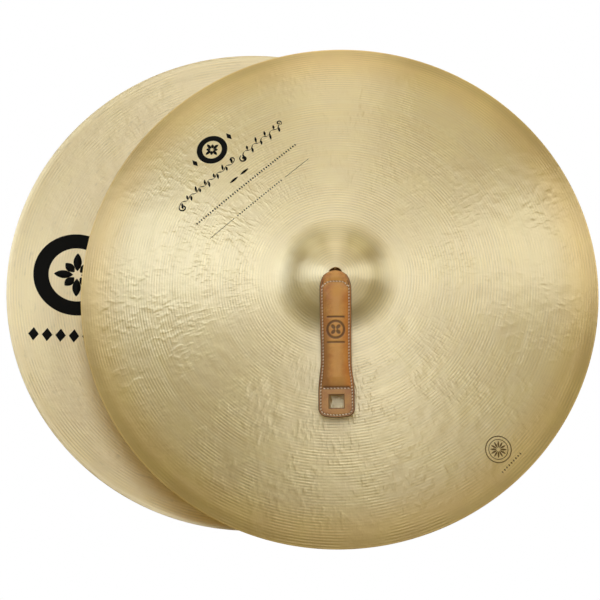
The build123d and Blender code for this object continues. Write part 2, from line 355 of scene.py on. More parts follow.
class Nodes:
    """Short ways to add and join shader nodes."""

    def __init__(self, owner):
        """The owner is a material or a world."""
        owner.use_nodes = True
        self.owner, self.tree = owner, owner.node_tree
        self.shader = self.tree.nodes.get("Principled BSDF")

    def feed(self, socket, value):
        if isinstance(value, bpy.types.NodeSocket):
            self.tree.links.new(value, socket)
        elif value is not None:
            whole_colour = socket.type == "RGBA" and len(value) == 3
            socket.default_value = (*value, 1.0) if whole_colour else value

    def node(self, kind, inputs=None, **settings):
        made = self.tree.nodes.new(kind)
        for key, value in settings.items():
            setattr(made, key, value)
        for key, value in (inputs or {}).items():
            self.feed(made.inputs[key], value)
        return made

    def maths(self, operation, first, second=None, third=None):
        made = self.node("ShaderNodeMath", operation=operation)
        for socket, value in zip(made.inputs, (first, second, third)):
            self.feed(socket, value)
        return made.outputs[0]

    def times(self, product, *factors):
        for factor in factors:
            product = self.maths("MULTIPLY", product, factor)
        return product

    def vector(self, operation, first, second=None, scale=None):
        made = self.node("ShaderNodeVectorMath", operation=operation)
        self.feed(made.inputs[0], first)
        self.feed(made.inputs[1], second)
        if scale is not None:
            self.feed(made.inputs["Scale"], scale)
        return made.outputs["Value" if operation == "LENGTH" else "Vector"]

    def layer(self, name, output="Fac"):
        return self.node("ShaderNodeAttribute", attribute_name=name).outputs[output]

    def split(self, vector):
        return self.node("ShaderNodeSeparateXYZ", {"Vector": vector}).outputs

    def join(self, x=0.0, y=0.0, z=0.0):
        return self.node("ShaderNodeCombineXYZ", {"X": x, "Y": y, "Z": z}).outputs[0]

    def noise(self, vector, scale, detail=2.0, roughness=0.5):
        inputs = {"Vector": vector, "Scale": scale, "Detail": detail, "Roughness": roughness}
        return self.node("ShaderNodeTexNoise", inputs).outputs["Fac"]

    def cells(self, vector, scale, feature="F1"):
        inputs = {"Vector": vector, "Scale": scale}
        return self.node("ShaderNodeTexVoronoi", inputs, feature=feature).outputs["Distance"]

    def ramp(self, value, low, high, from_value=0.0, to_value=1.0):
        inputs = {"Value": value, 1: low, 2: high, 3: from_value, 4: to_value}
        return self.node("ShaderNodeMapRange", inputs, interpolation_type="SMOOTHSTEP").outputs[0]

    def blend(self, share, first, second):
        """From the first colour to the second. Sockets 6 and 7 are the two colours."""
        inputs = {"Factor": share, 6: first, 7: second}
        return self.node("ShaderNodeMix", inputs, data_type="RGBA").outputs[2]

    def bump(self, height, distance, strength=1.0, after=None):
        """Height is in units of the distance, in millimetres."""
        inputs = {"Height": height, "Distance": distance * MM, "Strength": strength, "Normal": after}
        return self.node("ShaderNodeBump", inputs).outputs[0]

    def mix_in(self, shader, share):
        """Shows a second shader through the main one, by a share of the whole."""
        mix = self.node("ShaderNodeMixShader", {0: share, 1: self.shader.outputs[0], 2: shader})
        self.feed(self.tree.nodes["Material Output"].inputs["Surface"], mix.outputs[0])

    def finish(self, **inputs):
        """Sets the main shader's inputs; an underscore in a name stands for a space."""
        for key, value in inputs.items():
            self.feed(self.shader.inputs[key.replace("_", " ")], value)
        return self.owner


LATHE_PITCH = 2.78  # millimetres between turning lines
LINE_TONE = 0.085  # how much a turning line lightens and darkens the metal
BODY_SHARE = 0.38  # of the warm satin body in the metal's look
FLANK_RADIUS = 45.0  # of the ring of painted shade low on the bell's flank
TAB_SHADE = 0.24  # painted shade standing in for the tab's shadow: how much darker the metal is where the strap's tab rests on it
BRONZE = {
    "gloss_light": (0.95, 0.90, 0.72),
    "gloss_deep": (0.93, 0.86, 0.66),
    "body_light": (0.93, 0.60, 0.03),
    "body_deep": (0.86, 0.52, 0.02),
    # painted shade: the browner gloss near the front disc's rim
    "rim": (0.87, 0.71, 0.47),
    "worn": (0.66, 0.52, 0.28),
}


def new_material(name):
    """A new material's nodes, with the piece's own coordinates."""
    n = Nodes(bpy.data.materials.new(name))
    return n, n.layer("own", "Vector")


def turned_grain(n, own):
    """Radius, direction away from the axis, and the turning lines' tones, for metal and its prints."""
    x, y, _ = n.split(own)
    flat = n.join(x, y)
    radius = n.vector("LENGTH", flat)
    fine = n.noise(n.join(radius, 0.0, 0.0), 1.15, 4.0, 0.75)
    return radius, n.vector("NORMALIZE", flat), fine


def polar(n, away, radius, around, outwards):
    """Texture space with so many units round the disc per radian, and so many per millimetre outwards."""
    spin = n.split(n.vector("SCALE", away, scale=around))
    return n.join(spin[0], spin[1], n.maths("MULTIPLY", radius, outwards))


def radial_tangent(n, side, away):
    """The outward direction in world space: the rough way across the turning lines."""
    turn = UNIT[side].to_3x3().normalized()
    parts = [n.vector("SCALE", n.join(*turn.col[i]), scale=n.split(away)[i]) for i in range(2)]
    spaces = {"vector_type": "VECTOR", "convert_from": "OBJECT", "convert_to": "WORLD"}
    whole = {"Vector": n.vector("ADD", *parts)}
    return n.node("ShaderNodeVectorTransform", whole, **spaces).outputs[0]


def painted_tab_shade(n, own, hollow):
    """Painted shade: how much darker the metal is where the strap's tab rests on the disc's outer side,
    standing in for the tab's shadow.
    """
    x, y, _ = n.split(own)
    _, facing, _ = n.split(n.node("ShaderNodeNewGeometry").outputs["Normal"])
    outer = n.ramp(facing, *((-0.1, 0.1) if hollow else (0.1, -0.1)))
    from_eye = n.vector("LENGTH", n.join(x, n.maths("ADD", y, EYE_DEPTH)))
    from_eye = n.maths("MULTIPLY_ADD", n.noise(own, 0.07, 3.0), 22.0, from_eye)
    return n.times(outer, n.ramp(from_eye, 34.0, 8.0, 0.0, TAB_SHADE))


def bronze_material(name, side, hollow):
    """Lathed, hammered bronze.

    A light, directional gloss fans out across the turning lines, over a warmer satin body.
    """
    n, own = new_material(name)
    radius, away, fine = turned_grain(n, own)

    # turning lines, whose depth comes and goes in patches and along each ring
    patchy = n.ramp(n.noise(own, 0.021, 2.0), 0.36, 0.60, 0.15, 1.0)
    broken = n.ramp(n.noise(polar(n, away, radius, 9.0, 0.06), 1.0, 2.0), 0.35, 0.60, 0.35, 1.0)
    drift = n.times(n.noise(own, 0.011, 1.0), 5.0)
    line = n.maths("SINE", n.maths("MULTIPLY_ADD", radius, 2 * math.pi / LATHE_PITCH, drift))
    line = n.times(line, patchy, broken)
    bands = n.noise(n.join(radius, 3.0, 0.0), 0.16, 3.0, 0.6)

    # hammer marks: short ripples that run outwards, and a slower unevenness under them
    dashes = n.ramp(n.noise(polar(n, away, radius, 40.0, 0.13), 1.0, 1.2, 0.4), 0.42, 0.74)
    struck = n.ramp(n.noise(own, 0.028, 2.0), 0.38, 0.58, 0.15, 1.0)
    dashes = n.times(dashes, struck, n.ramp(radius, 66.0, 105.0), n.ramp(radius, 262.0, 235.0))
    uneven = n.noise(n.vector("MULTIPLY", own, (1.0, 1.0, 0.0)), 0.09, 3.0, 0.55)

    cloud = n.noise(own, 0.035, 3.0)
    gloss = n.blend(n.ramp(bands, 0.3, 0.7), BRONZE["gloss_deep"], BRONZE["gloss_light"])
    body = n.blend(n.ramp(cloud, 0.35, 0.68), BRONZE["body_deep"], BRONZE["body_light"])
    from_flank = n.maths("ABSOLUTE", n.maths("SUBTRACT", radius, FLANK_RADIUS))
    shades = [
        n.maths("MULTIPLY_ADD", line, LINE_TONE, 1.0),
        n.ramp(fine, 0.35, 0.65, 1.03, 0.95),
        # painted shade on the bell's flank, where its lower side turns away from the light
        n.ramp(from_flank, 4.0, 14.0, 0.88, 1.0),
        # painted shade where the strap's tab hangs over the metal
        n.maths("SUBTRACT", 1.0, painted_tab_shade(n, own, hollow)),
    ]
    if hollow:
        marks = n.noise(polar(n, away, radius, 13.0, 0.22), 1.0, 2.5, 0.6)
        shades.append(n.ramp(marks, 0.58, 0.74, 1.0, 0.86))
    else:
        # painted shade in a band inside the rim, and a painted highlight along the very edge
        shades.append(n.ramp(radius, RIM_RADIUS - 16, RIM_RADIUS - 6, 1.0, 0.88))
        shades.append(n.ramp(radius, RIM_RADIUS - 2, RIM_RADIUS - 1, 1.0, 1.22))
        # painted shade: the gloss turns browner towards the rim
        gloss = n.blend(n.ramp(radius, RIM_RADIUS * 0.78, RIM_RADIUS - 4), gloss, BRONZE["rim"])
    shade = n.times(*shades)
    gloss, body = (n.vector("SCALE", colour, scale=shade) for colour in (gloss, body))

    shine = n.bump(uneven, 0.55, 0.5)
    shine = n.bump(dashes, 0.08 if hollow else 0.165, 1.0, shine)
    shine = n.bump(n.maths("MULTIPLY_ADD", line, 0.5, 0.5), 0.10, 1.0, shine)
    shine = n.bump(fine, 0.04, 0.5, shine)
    satin = {"Base Color": body, "Roughness": 0.8, "Specular IOR Level": 0.0, "Normal": shine}
    n.mix_in(n.node("ShaderNodeBsdfPrincipled", satin).outputs[0], BODY_SHARE)
    return n.finish(
        Base_Color=gloss,
        Metallic=1.0,
        Roughness=n.ramp(bands, 0.3, 0.7, 0.37, 0.43),
        Anisotropic=0.72,
        Tangent=radial_tangent(n, side, away),
        Normal=shine,
    )


LEATHER_LIGHT = (0.82, 0.405, 0.105)
LEATHER_DARK = (0.60, 0.215, 0.055)
LEATHER_EDGE = (0.085, 0.036, 0.016)
# colour of painted shade on the padding's left flank and low end
LEATHER_SHADE = (0.44, 0.19, 0.055)
# colour of painted warm light on the padding's right flank
LEATHER_WARM_LIGHT = (0.74, 0.27, 0.05)
LEATHER_GREY = (0.50, 0.27, 0.135)


def leather_material(name, light, dark, rough=0.42):
    """Waxed leather: pebbled grain, creases, mottled dye, and darker where pressed or burnished, with
    painted shade in the crease above the cross seam; the strap's layers also paint a highlight on the
    padded crown, shade on its left flank and low end, and warm light on its right flank.
    """
    n, own = new_material(name)
    cloud = n.noise(own, 0.09, 4.0, 0.6)
    fleck = n.noise(own, 0.9, 3.0, 0.7)
    pores = n.cells(own, 2.6)
    grain = n.cells(own, 1.35, "SMOOTH_F1")
    tint = n.blend(n.ramp(cloud, 0.35, 0.68), dark, light)
    dyes = (
        (n.ramp(fleck, 0.45, 0.75, 0.0, 0.30), LEATHER_EDGE),
        # painted highlight on the crown, then painted shade and painted warm light on the padding's flanks
        (n.layer("crown_highlight"), light),
        (n.layer("painted_shade"), LEATHER_SHADE),
        (n.layer("painted_warm_light"), LEATHER_WARM_LIGHT),
        (n.layer("greyed"), LEATHER_GREY),
        # pressed seams and stamp, and painted shade in the crease above the cross seam
        (n.times(n.layer("pressed"), 0.82), LEATHER_EDGE),
        (n.times(n.layer("burnish"), 0.9), LEATHER_EDGE),
    )
    for share, dye in dyes:
        tint = n.blend(share, tint, dye)
    normal = n.bump(grain, 0.10, 0.55)
    normal = n.bump(n.ramp(pores, 0.0, 0.35), 0.05, 0.5, normal)
    normal = n.bump(n.noise(own, 0.5, 3.0), 0.25, 0.25, normal)
    return n.finish(
        Base_Color=tint,
        Roughness=n.ramp(fleck, 0.3, 0.7, rough - 0.05, rough + 0.09),
        Normal=normal,
        Specular_IOR_Level=0.45,
        Coat_Weight=0.10,
        Coat_Roughness=0.30,
    )


def felt_material():
    """Dense wool felt: matted fibres and a soft bloom."""
    n, own = new_material("pad_felt")
    fibres = n.noise(n.vector("MULTIPLY", own, (1.0, 0.5, 1.0)), 3.2, 5.0, 0.7)
    tint = n.blend(n.ramp(fibres, 0.3, 0.7), (0.52, 0.48, 0.40), (0.70, 0.66, 0.58))
    return n.finish(Base_Color=tint, Roughness=0.95, Sheen_Weight=0.4, Normal=n.bump(fibres, 0.3, 0.8))


def thread_material():
    """Waxed linen thread, twisted from strands."""
    n, own = new_material("thread")
    x, y, z = n.split(own)
    lay = n.maths("ADD", n.maths("ADD", x, y), z)
    twist = n.maths("SINE", n.maths("MULTIPLY", lay, 9.0))
    tint = n.blend(n.ramp(n.noise(own, 1.2), 0.3, 0.7), (0.90, 0.68, 0.50), (1.0, 0.90, 0.74))
    return n.finish(Base_Color=tint, Roughness=0.55, Normal=n.bump(twist, 0.06, 0.7))


def ink_material(name, colour, rough, worn):
    """Printed or etched ornament, slightly worn along the turning lines under it."""
    n, own = new_material(name)
    _, _, fine = turned_grain(n, own)
    tint = n.blend(n.ramp(fine, 0.45, 0.7, 0.0, worn), colour, BRONZE["worn"])
    normal = n.bump(fine, 0.02, 0.6)
    return n.finish(Base_Color=tint, Roughness=rough, Specular_IOR_Level=0.1, Normal=normal)


BRONZE_OF = {side: bronze_material(f"bronze_{side}", side, hollow=side == "rear") for side in SIDES}
COVER_LEATHER = leather_material("leather_cover", LEATHER_LIGHT, LEATHER_DARK)
LINING_LEATHER = leather_material("leather_lining", (0.45, 0.25, 0.11), (0.33, 0.17, 0.07), 0.6)
WASHER_LEATHER = leather_material("leather_washer", (0.30, 0.16, 0.07), (0.19, 0.09, 0.04), 0.6)
TAIL_LEATHER = leather_material("leather_tails", (0.44, 0.22, 0.08), (0.29, 0.13, 0.05), 0.5)
FELT = felt_material()
THREAD = thread_material()
BLACK_INK = ink_material("black_ink", (0.004, 0.004, 0.004), 0.55, 0.0)
ETCHING = ink_material("etching", (0.16, 0.09, 0.03), 0.6, 0.25)


# --- The bronze disc ----------------------------------------------------------------------------

AROUND = 448  # points round each ring of the disc
OUTER_STEP = 2.1
INNER_STEP = 3.3


def disc_profile():
    """The disc's closed profile, from the hole over the outer side and back under it: radii and heights."""
    quarter = np.radians([0, 30, 60, 90])
    mouth, land = HOLE_RADIUS + HOLE_ROUNDING, RIM_RADIUS - RIM_LAND
    top = spread([mouth, FOOT_ON_BELL, FOOT_ON_BOW, RIM_RADIUS - 3], OUTER_STEP)
    top = np.append(top, [RIM_RADIUS - 1.5, RIM_RADIUS - 0.7])
    under = spread([mouth, FOOT_ON_BELL, FOOT_ON_BOW, land], INNER_STEP)[::-1]
    edge_radius = RIM_RADIUS - RIM_ROUNDING + RIM_ROUNDING * np.sin(quarter)
    edge_height = RIM_THICKNESS - RIM_ROUNDING + RIM_ROUNDING * np.cos(quarter)
    mouth_radius = mouth - HOLE_ROUNDING * np.sin(quarter[1:])
    mouth_drop = HOLE_ROUNDING - HOLE_ROUNDING * np.cos(quarter[1:])
    radii = [top, edge_radius, edge_radius[::-1], under, mouth_radius, mouth_radius[::-1]]
    heights = [
        outer_height(top),
        edge_height,
        RIM_THICKNESS - edge_height[::-1],
        inner_height(under),
        inner_height(mouth) + mouth_drop,
        outer_height(mouth) - mouth_drop[::-1],
    ]
    return np.concatenate(radii), np.concatenate(heights)


def make_disc(side):
    radii, heights = disc_profile()
    angle = round_angles(AROUND)
    x, y = radii[:, None] * np.cos(angle), radii[:, None] * np.sin(angle)
    z = heights[:, None] + hammered(side, x, y)
    points = np.stack([x, y, z], axis=-1).reshape(-1, 3)
    faces = grid_faces(len(radii), AROUND, wrap_rows=True, wrap_columns=True)
    disc = make_piece(f"{side}_bronze_disc", side, points, faces, BRONZE_OF[side])
    disc.data.set_sharp_from_angle(angle=math.radians(40))
    settle(disc, side, "bronze", "cymbal", "cymbal")


# --- Ornament on the metal ----------------------------------------------------------------------
# Every shape is a grid of flat points (x, y) that is laid on the disc's surface as a thin film.

FILM_ABOVE = 0.045
FILM_BELOW = 0.03
FILM_STEP = 1.0  # between the grid points of a ring or a diamond


def on_disc(side, hollow, flat, lift):
    """Points of the disc's outer or hollow surface under flat points, raised off it by a lift."""
    x, y = flat[..., 0], flat[..., 1]
    radius = np.hypot(x, y)
    if hollow:
        z = inner_height(radius) - lift
    else:
        z = outer_height(radius) + lift
    return np.stack([x, y, z + hammered(side, x, y)], axis=-1)


def add_film(parts, side, hollow, flat, closed=False):
    """A thin closed film over a grid of flat points. Closed joins its last column to its first."""
    top, bottom = (on_disc(side, hollow, flat, lift) for lift in (FILM_ABOVE, -FILM_BELOW))
    parts.add(*between(top, bottom, closed))


def turned(flat, angle, centre):
    """Flat points turned by an angle in degrees and moved to a centre."""
    c, s = math.cos(math.radians(angle)), math.sin(math.radians(angle))
    x, y = flat[..., 0], flat[..., 1]
    return np.stack([c * x - s * y + centre[0], s * x + c * y + centre[1]], axis=-1)


def ring(inner, outer):
    """An annulus as a closed grid."""
    around = max(24, int(2 * math.pi * outer / FILM_STEP))
    across = max(2, int((outer - inner) / FILM_STEP) + 1)
    angle = round_angles(around)
    radius = np.linspace(inner, outer, across)[:, None]
    return np.stack([radius * np.cos(angle), radius * np.sin(angle)], axis=-1)


def diamond(width, height):
    """A four-pointed lozenge, as a square grid turned on its corner."""
    count = max(3, int(max(width, height) / FILM_STEP) + 1)
    a, b = np.meshgrid(np.linspace(-0.5, 0.5, count), np.linspace(-0.5, 0.5, count))
    return np.stack([(a - b) * width / 2, (a + b) * height / 2], axis=-1)


def stroke(path, widths):
    """A ribbon of varying width along a path of flat points."""
    along = np.gradient(path, axis=0)
    along /= np.linalg.norm(along, axis=1, keepdims=True)
    side = np.stack([-along[:, 1], along[:, 0]], axis=1) * np.asarray(widths)[:, None] / 2
    return np.stack([path - side, path, path + side])


def petal(length, width, start):
    """A leaf that points along +X and begins at a distance from the centre."""
    along = np.linspace(0, 1, 12)
    path = np.stack([start + along * length, 0 * along], axis=1)
    return stroke(path, width * np.sin(math.pi * along) ** 0.8 + 0.05)


def star_in_ring(inner, outer):
    """A ring round an eight-leaved rosette, as a list of (grid, closed)."""
    shapes = [(ring(inner, outer), True)]
    for step in range(8):
        long = step % 2 == 0
        leaf = petal(inner * (0.68 if long else 0.46), inner * 0.30, inner * 0.14)
        shapes.append((turned(leaf, step * 45 + 90, (0, 0)), False))
    return shapes


def curl(size, turns, thick):
    """A pen curl that winds in on itself, starting at the origin and heading along +X."""
    t = np.linspace(0, 1, 40)
    angle = -math.pi / 2 + t * turns * 2 * math.pi
    radius = size * (1 - 0.86 * t)
    path = np.stack([radius * np.cos(angle), size + radius * np.sin(angle)], axis=1)
    return stroke(path, thick * np.sin(math.pi * np.clip(t + 0.06, 0, 1)) ** 0.7 + 0.35)


def leafy_vine(length, leaves):
    """A waving stem with a thick and thin pen stroke for each leaf, as a list of (grid, angle, place)."""
    x = np.linspace(-length / 2, length / 2, 120)
    wave = 2 * math.pi * leaves / length / 2
    stem = np.stack([x, 1.3 * np.sin(wave * x)], axis=1)
    shapes = [(stroke(stem, 0.7 + 0.35 * np.cos(2 * wave * x)), 0, (0, 0))]
    for step in range(leaves):
        at = (step + 0.5) / leaves * length - length / 2
        upward = 1 if step % 2 else -1
        reach = (7.6, 5.2, 6.4)[step % 3]
        leaf = petal(reach, 2.3, 0.6)
        shapes.append((leaf, 62 if upward > 0 else -118, (at, 1.3 * math.sin(wave * at))))
    return shapes


def make_ornament(name, side, hollow, material, shapes):
    """One piece from a list of (grid, closed, angle, centre)."""
    parts = Parts()
    for grid, closed, angle, centre in shapes:
        add_film(parts, side, hollow, turned(grid, angle, centre), closed)
    settle(parts.piece(name, side, material), side, "bronze", "cymbal")


def along_line(centre, angle, distance, drop):
    """A point on a slanted line of ornament: so far along it and so far below it."""
    c, s = math.cos(math.radians(angle)), math.sin(math.radians(angle))
    return centre[0] + c * distance + s * drop, centre[1] + s * distance - c * drop


def make_front_print():
    """Printed ornament on the upper left of the front disc, in four rows on a rising slant."""
    slant, centre = 40.0, (-111.0, 127.5)
    shapes = []

    def put(shape, distance, drop, angle=0.0, closed=False):
        shapes.append((shape, closed, slant + angle, along_line(centre, slant, distance, drop)))

    for grid, closed in star_in_ring(10.5, 16.5):
        put(grid, -2, -27, closed=closed)
    for end in (-1, 1):
        put(diamond(5, 10), -2 + end * 23, -27)
    for start, length, leaves in ((-66, 72, 12), (16, 54, 9)):
        middle = start + length / 2
        for grid, angle, (along, up) in leafy_vine(length, leaves):
            put(grid, middle + along, -up, angle)
        put(curl(4.4, 1.3, 1.3), start, 0, 180)
        put(curl(3.0, 1.2, 1.1), start + length, 0)
    for end in (-1, 1):
        put(petal(11, 2.6, 1.5), 0, 17, 0 if end > 0 else 180)
    for step in range(-22, 23):
        put(diamond(*((1.6, 3.6) if step % 3 else (2.4, 2.4))), step * 3.0, 29)
    for step in range(-10, 11):
        put(diamond(*((1.4, 2.8) if step % 2 else (1.9, 1.9))), step * 2.9, 51)
    for end in (-1, 1):
        rule = np.stack([np.linspace(34, 66, 24) * end, np.zeros(24)], axis=1)
        put(stroke(rule, np.full(24, 0.55)), 0, 51)
    make_ornament("front_printed_ornament", "front", False, BLACK_INK, shapes)


def make_front_etching():
    """A small etched rosette on the lower right of the front disc."""
    centre, tilt = (158.0, -171.0), 45
    shapes = [(ring(12.2, 13.2), True, 0, centre), (ring(9.2, 9.9), True, 0, centre)]
    for step in range(12):
        shapes.append((petal(6.6, 1.7, 1.6), False, step * 30, centre))
    for step in range(-4, 5):
        shapes.append((diamond(1.6, 2.8), False, tilt, along_line(centre, tilt, step * 3.2, 18)))
    make_ornament("front_etched_rosette", "front", False, ETCHING, shapes)


def make_rear_print():
    """Bold printed ornament on the hollow side of the rear disc, at its left edge as seen."""
    centre = (194.0, 11.0)
    shapes = [(grid, closed, 0, centre) for grid, closed in star_in_ring(30.0, 46.0)]
    for step in range(-3, 4):
        shapes.append((diamond(11, 15), False, 0, (centre[0] + step * 14, centre[1] - 69)))
    make_ornament("rear_printed_ornament", "rear", True, BLACK_INK, shapes)


# --- The strap's shape --------------------------------------------------------------------------

TURN = math.radians(90 + DROOP)
BEND_START = BELL_TOP + BEND_LIFT
BEND_LENGTH = BEND_RADIUS * TURN
LEAN = math.radians(DROOP)
BEND_END_DEPTH = BEND_RADIUS * (1 - math.cos(TURN))
KNOT_HEIGHT = float(inner_height(WASHER_RADIUS)) - SEAT_GAP - WASHER_THICKNESS


def depth_at(s):
    """Depth below the hole's centre, at a distance along the strap from where its bend starts."""
    s = np.asarray(s, float)
    in_bend = BEND_RADIUS * (1 - np.cos(np.clip(s / BEND_RADIUS, 0, TURN)))
    return in_bend + np.maximum(s - BEND_LENGTH, 0) * math.cos(LEAN)


def along_at(depth):
    """Distance along the strap to a depth on its straight, hanging part."""
    return BEND_LENGTH + (depth - BEND_END_DEPTH) / math.cos(LEAN)


def half_width(depth):
    """Half the strap's width at a depth, before its corners are rounded."""
    depth = np.asarray(depth, float)
    top = (SHOULDER_DEPTH - depth) / (SHOULDER_DEPTH + APEX_ABOVE_HOLE)
    crown = SHOULDER_HALF * np.sqrt(np.clip(1 - top**2, 0, 1))
    taper = np.clip((depth - SHOULDER_DEPTH) / (FLARE_START - SHOULDER_DEPTH), 0, 1)
    waist = WAIST_HALF + (SHOULDER_HALF - WAIST_HALF) * (1 + np.cos(math.pi * taper)) / 2
    flare = np.clip((depth - FLARE_START) / (FLARE_END - FLARE_START), 0, 1)
    tab = TAB_HALF + (WAIST_HALF - TAB_HALF) * (1 + np.cos(math.pi * flare)) / 2
    width = np.where(depth < SHOULDER_DEPTH, crown, waist)
    return np.where(depth > FLARE_START, tab, width)


def outline_half(s):
    """Half the strap's width along its whole length, from the neck to the rounded corners."""
    depth = depth_at(s)
    neck = NECK_WIDTH / 2
    width = neck + (half_width(depth) - neck) * smooth(0.5, BEND_LENGTH * 0.85, s)
    into_corner = np.clip(depth - CORNER_START, 0, TAB_CORNER)
    return width - (TAB_CORNER - np.sqrt(TAB_CORNER**2 - into_corner**2))


def from_border(x, depth, width):
    """Distance in from the strap's outline, at points of its hanging part."""
    side = width - np.abs(x)
    end = STRAP_LENGTH - TAB_BULGE * (x / CORNER_SIDE) ** 2 - depth
    corner_x = np.abs(x) - CORNER_SIDE
    corner_y = depth - CORNER_START
    in_corner = (corner_x > 0) & (corner_y > 0)
    round_corner = TAB_CORNER - np.hypot(corner_x, corner_y)
    return np.where(in_corner, round_corner, np.minimum(side, end))


def pad_lift(x, depth, width):
    """Height of the padding over the strap's middle plane."""
    share = np.clip(np.abs(x) / np.maximum(width - PAD_INSET, 1), 0, 1)
    across = (1 - share**2.3) ** 0.75
    rise = smooth(PAD_TOP - 1, PAD_TOP + 17, depth)
    fall = np.sqrt(np.clip((PAD_BOTTOM - depth) / 9, 0, 1))
    return PAD_HEIGHT * across * rise * np.minimum(fall, 1)


def strap_point(x, s, lift):
    """Own-axes points from across, along and outwards coordinates of the strap."""
    s = np.asarray(s, float)
    angle = np.clip(s / BEND_RADIUS, 0, TURN)
    stem, straight = np.minimum(s, 0), np.maximum(s - BEND_LENGTH, 0)
    out = BEND_START + stem + BEND_RADIUS * np.sin(angle) + straight * math.cos(TURN)
    up = BEND_RADIUS * (np.cos(angle) - 1) - straight * math.sin(TURN)
    bent = np.where(s > 0, angle, 0)
    return np.stack([x + 0 * s, up + lift * np.cos(bent), out + lift * np.sin(bent)], axis=-1)


STAMP_DEPTH = 57.5
STAMP_RING = 8.2  # radius
STAMP_LEAF = 5.4  # length
STAMP_BAR = 12.4  # from the stamp's middle to each bar


def emboss(x, depth):
    """1 where the cover's stamp is pressed in: a ringed rosette between two bars."""
    y = depth - STAMP_DEPTH
    radius, angle = np.hypot(x, y), np.arctan2(y, x)
    pressed = smooth(1.5, 0.9, np.abs(radius - STAMP_RING))
    leaves = np.abs(np.sin(2 * angle)) * STAMP_LEAF + 0.5
    pressed = np.maximum(pressed, smooth(0.5, -0.3, radius - leaves) * smooth(0.6, 1.4, radius))
    bar = smooth(1.15, 0.65, np.abs(np.abs(y) - STAMP_BAR)) * smooth(9.2, 8.4, np.abs(x))
    return np.maximum(pressed, bar)


def seam_channel(x, depth, inward):
    """How far a seam has drawn the leather in, from 0 to 1, at points of the hanging part."""
    sides = ridge(inward - SEAM_INSET, 0.65) * smooth(TOP_SEAM_DEPTH - 1.2, TOP_SEAM_DEPTH, depth)
    inside = smooth(SEAM_INSET - 0.8, SEAM_INSET, inward)
    top = ridge(depth - top_seam(x), 0.65) * inside
    bottom = ridge(depth - BOTTOM_SEAM_DEPTH, 0.65) * inside
    return np.maximum(np.maximum(sides, top), bottom)


def top_seam(x):
    """Depth of the cross seam at the strap's pointed top, which curves down at its ends."""
    return TOP_SEAM_DEPTH + TOP_SEAM_DIP * (np.abs(x) / 11) ** 4


# --- Leather layers -----------------------------------------------------------------------------

EDGE_ROUNDING = 0.6
EDGE_STOPS = (0.0, 0.07, 0.2, 0.4, 0.62, 1.0, 1.45, 1.8, 2.1, 2.4, 2.7, 3.0, 3.4, 3.9, 4.5)
EYE_STOPS = (-0.6, -0.25, 0.0, 0.25, 0.6)
EYE_ROUNDING = 1.1
EYE_REACH = 1.8
COLUMN_STEP = 0.62
ROW_STEP = 0.62


def sheet_columns():
    """Shares of the half width, from -1 to 1, dense at the edges, the seams and the eye."""
    from_edge = 1 - np.array(EDGE_STOPS) / SHOULDER_HALF
    eye = EYE_WIDTH / 2 / TAB_HALF
    near_eye = eye + np.array(EYE_STOPS) / TAB_HALF
    inner = spread([0.0, near_eye[0]], COLUMN_STEP / SHOULDER_HALF)
    outer = spread([near_eye[-1], from_edge[-1]], COLUMN_STEP / SHOULDER_HALF)
    half = np.unique(np.round(np.concatenate([inner, near_eye, outer, from_edge]), 7))
    return np.concatenate([-half[:0:-1], half])


def sheet_rows():
    """Distances along the strap, from inside the bell to the free end."""
    stem = -(BEND_START - KNOT_HEIGHT) + 0.3
    seams = [top_seam(0), BOTTOM_SEAM_DEPTH]
    eye = [EYE_DEPTH - EYE_HEIGHT / 2, EYE_DEPTH + EYE_HEIGHT / 2]
    close = [edge + off for edge in eye for off in EYE_STOPS]
    stops = sorted(seams + close + [PAD_BOTTOM - 0.5, PAD_BOTTOM, FLARE_START, CORNER_START])
    hanging = spread([BEND_LENGTH] + [float(along_at(d)) for d in stops], ROW_STEP)
    corner = CORNER_START + TAB_CORNER * np.sin(np.radians(np.arange(6, 91, 6)))
    fine = spread([stem, 0.0], 0.8)[:-1], spread([0.0, BEND_LENGTH], 0.4)[:-1]
    return np.concatenate([*fine, hanging, along_at(corner)])


def round_eye(x, depth):
    """Moves grid points at the square eye's corners onto small arcs."""
    radius, far = EYE_ROUNDING, EYE_REACH  # of the corner, and of the last points that are moved
    corner_x = np.abs(x) - (EYE_WIDTH / 2 - radius)
    corner_y = np.abs(depth - EYE_DEPTH) - (EYE_HEIGHT / 2 - radius)
    reach = np.maximum(np.maximum(corner_x, corner_y), 1e-9)
    length = np.hypot(corner_x, corner_y)
    inside = (corner_x > 0) & (corner_y > 0) & (reach < far)
    share = np.where(inside, np.clip((far - reach) / (far - radius), 0, 1), 0)
    pull = 1 + share * (reach / np.maximum(length, 1e-9) - 1)
    new_x = np.sign(x) * (EYE_WIDTH / 2 - radius + corner_x * pull)
    new_depth = EYE_DEPTH + np.sign(depth - EYE_DEPTH) * (EYE_HEIGHT / 2 - radius + corner_y * pull)
    return np.where(inside, new_x, x), np.where(inside, new_depth, depth)


